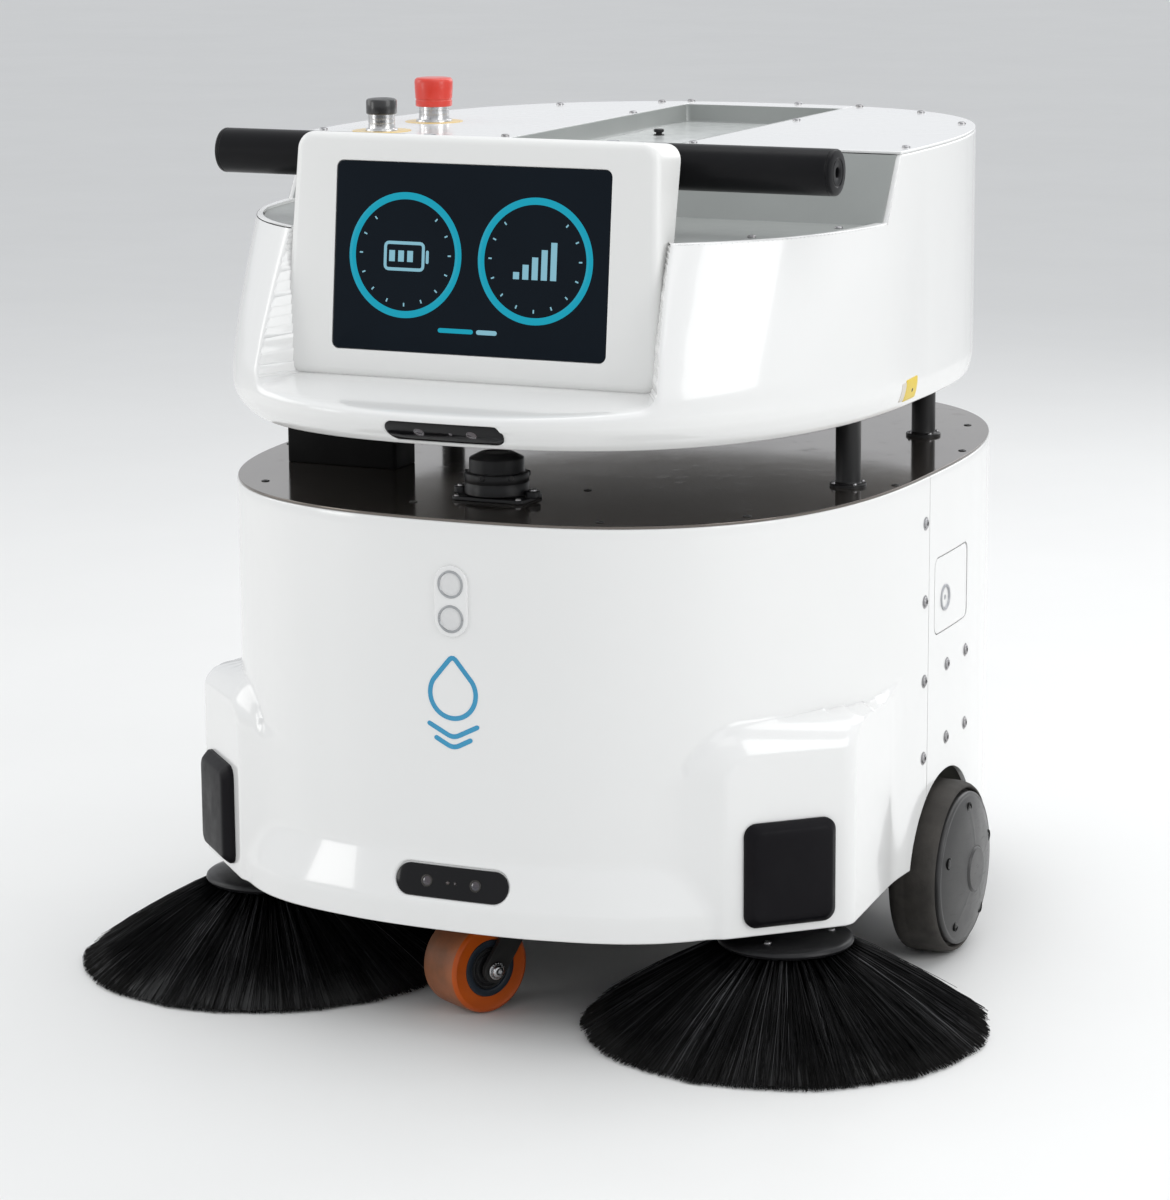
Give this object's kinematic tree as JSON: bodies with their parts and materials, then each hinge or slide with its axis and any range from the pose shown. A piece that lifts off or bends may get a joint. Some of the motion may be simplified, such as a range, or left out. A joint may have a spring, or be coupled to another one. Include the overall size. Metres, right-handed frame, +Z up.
{
  "type": "robotic floor cleaner",
  "caption": "Wheeled sweeping robot with a rounded base, corner side brushes, raised head with tilted screen, push bar and stop button.",
  "frame": {"origin": "on the floor below the middle of the whole machine's box", "axes": "+Z up, front of the machine towards -Y, +X to the side with the service door"},
  "size_m": [0.99, 0.96, 0.9145],
  "materials": {
    "shell_white": "high-gloss moulded plastic",
    "panel_white": "satin white powder coat",
    "deck_dark": "polished dark plate",
    "panel_grey": "satin grey powder coat",
    "frame_black": "satin black coat",
    "black_plastic": "satin black plastic",
    "black_rubber": "matt rubber",
    "sensor_grey": "satin",
    "lens": "polished",
    "screen_glass": "polished cover glass",
    "housing_white": "satin-gloss moulded plastic",
    "steel_bright": "brushed",
    "bracket_grey": "satin",
    "bar_black": "satin black coat",
    "grip_black": "satin rubber",
    "red_button": "satin red",
    "black_button": "satin black",
    "legend_yellow": "satin",
    "battery_case": "blue film wrapped",
    "electronics": "satin",
    "inner_plastic": "matt",
    "hopper_white": "gloss moulded plastic",
    "bristle": "nylon filament",
    "roller_bristle": "nylon filament",
    "tyre_rubber": "matt rubber",
    "hub_dark": "satin dark grey",
    "caster_orange": "polyurethane tread",
    "caster_core_grey": "satin",
    "rear_wheel_grey": "matt"
  },
  "bodies": {
    "chassis": {"chassis_plate": "frame_black", "frame_tubes": "frame_black", "front_shell": "shell_white", "rear_shell": "shell_white", "deck_plate": "deck_dark", "bumper_pads": "black_rubber", "sensor_bezel": "shell_white", "ultrasonic_sensors": "sensor_grey", "front_camera_bezel": "black_plastic", "camera_lenses": "lens", "lidar_bracket": "black_plastic", "lidar_scanner": "black_plastic", "head_posts": "frame_black", "cable_duct": "black_plastic", "head_base_plate": "frame_black", "head_shell": "shell_white", "chin_camera": "lens", "top_panel_left": "panel_white", "top_panel_right": "panel_white", "top_tray": "panel_grey", "handle_recess_pan": "panel_grey", "screen_housing": "housing_white", "display_glass": "screen_glass", "display_module": "electronics", "handlebar": "bar_black", "handle_brackets": "bracket_grey", "handle_grips": "grip_black", "button_bodies": "steel_bright", "button_legends": "legend_yellow", "head_screws": "steel_bright", "body_screws": "steel_bright", "battery": "battery_case", "controller_box": "electronics", "vacuum_fan": "inner_plastic", "door_pin": "steel_bright", "side_brush_motors": "inner_plastic", "roller_housing": "inner_plastic", "wheel_axles": "frame_black"},
    "estop": {"estop_cap": "red_button"},
    "push_button": {"push_button_cap": "black_button"},
    "hopper": {"dust_hopper": "hopper_white"},
    "door": {"service_door": "shell_white", "door_pull": "steel_bright"},
    "brush_left": {"brush_hub_left": "black_plastic", "bristles_left": "bristle"},
    "brush_right": {"brush_hub_right": "black_plastic", "bristles_right": "bristle"},
    "roller": {"roller_core": "steel_bright", "roller_bristles": "roller_bristle"},
    "wheel_left": {"tyre_left": "tyre_rubber", "wheel_hub_left": "hub_dark"},
    "wheel_right": {"tyre_right": "tyre_rubber", "wheel_hub_right": "hub_dark"},
    "caster_swivel": {"caster_fork": "frame_black"},
    "caster_wheel": {"caster_tyre": "caster_orange", "caster_core": "caster_core_grey"},
    "rear_swivel_left": {"rear_fork_left": "frame_black"},
    "rear_swivel_right": {"rear_fork_right": "frame_black"},
    "rear_roller_left": {"rear_wheel_left": "rear_wheel_grey"},
    "rear_roller_right": {"rear_wheel_right": "rear_wheel_grey"}
  },
  "joints": [
    {"name": "wheel_left_spin", "type": "hinge", "parent": "chassis", "child": "wheel_left", "pos_m": [-0.346, 0.044, 0.093], "axis": [1, 0, 0], "continuous": true},
    {"name": "wheel_right_spin", "type": "hinge", "parent": "chassis", "child": "wheel_right", "pos_m": [0.346, 0.044, 0.093], "axis": [1, 0, 0], "continuous": true},
    {"name": "brush_left_spin", "type": "hinge", "parent": "chassis", "child": "brush_left", "pos_m": [-0.296, -0.271, 0.1], "axis": [0, 0, 1], "continuous": true},
    {"name": "brush_right_spin", "type": "hinge", "parent": "chassis", "child": "brush_right", "pos_m": [0.296, -0.271, 0.1], "axis": [0, 0, 1], "continuous": true},
    {"name": "roller_spin", "type": "hinge", "parent": "chassis", "child": "roller", "pos_m": [0, 0.194, 0.063], "axis": [1, 0, 0], "continuous": true},
    {"name": "caster_swivel_turn", "type": "hinge", "parent": "chassis", "child": "caster_swivel", "pos_m": [0, -0.306, 0.1], "axis": [0, 0, 1], "continuous": true},
    {"name": "caster_wheel_spin", "type": "hinge", "parent": "caster_swivel", "child": "caster_wheel", "pos_m": [-0.01878, -0.34132, 0.048], "axis": [0.8829, -0.4695, 0], "continuous": true},
    {"name": "rear_swivel_left_turn", "type": "hinge", "parent": "chassis", "child": "rear_swivel_left", "pos_m": [-0.19, 0.349, 0.1], "axis": [0, 0, 1], "continuous": true},
    {"name": "rear_roller_left_spin", "type": "hinge", "parent": "rear_swivel_left", "child": "rear_roller_left", "pos_m": [-0.19, 0.377, 0.044], "axis": [1, 0, 0], "continuous": true},
    {"name": "rear_swivel_right_turn", "type": "hinge", "parent": "chassis", "child": "rear_swivel_right", "pos_m": [0.19, 0.349, 0.1], "axis": [0, 0, 1], "continuous": true},
    {"name": "rear_roller_right_spin", "type": "hinge", "parent": "rear_swivel_right", "child": "rear_roller_right", "pos_m": [0.19, 0.377, 0.044], "axis": [1, 0, 0], "continuous": true},
    {"name": "service_door_hinge", "type": "hinge", "parent": "chassis", "child": "door", "pos_m": [0.3487, 0.1094, 0.3945], "axis": [0, 0, 1], "range_deg": [0, 100]},
    {"name": "hopper_slide", "type": "slide", "parent": "chassis", "child": "hopper", "axis": [0, 1, 0], "range_m": [0, 0.21]},
    {"name": "estop_press", "type": "slide", "parent": "chassis", "child": "estop", "axis": [0, 0, -1], "range_m": [0, 0.004]},
    {"name": "push_button_press", "type": "slide", "parent": "chassis", "child": "push_button", "axis": [0, 0, -1], "range_m": [0, 0.003]}
  ]
}
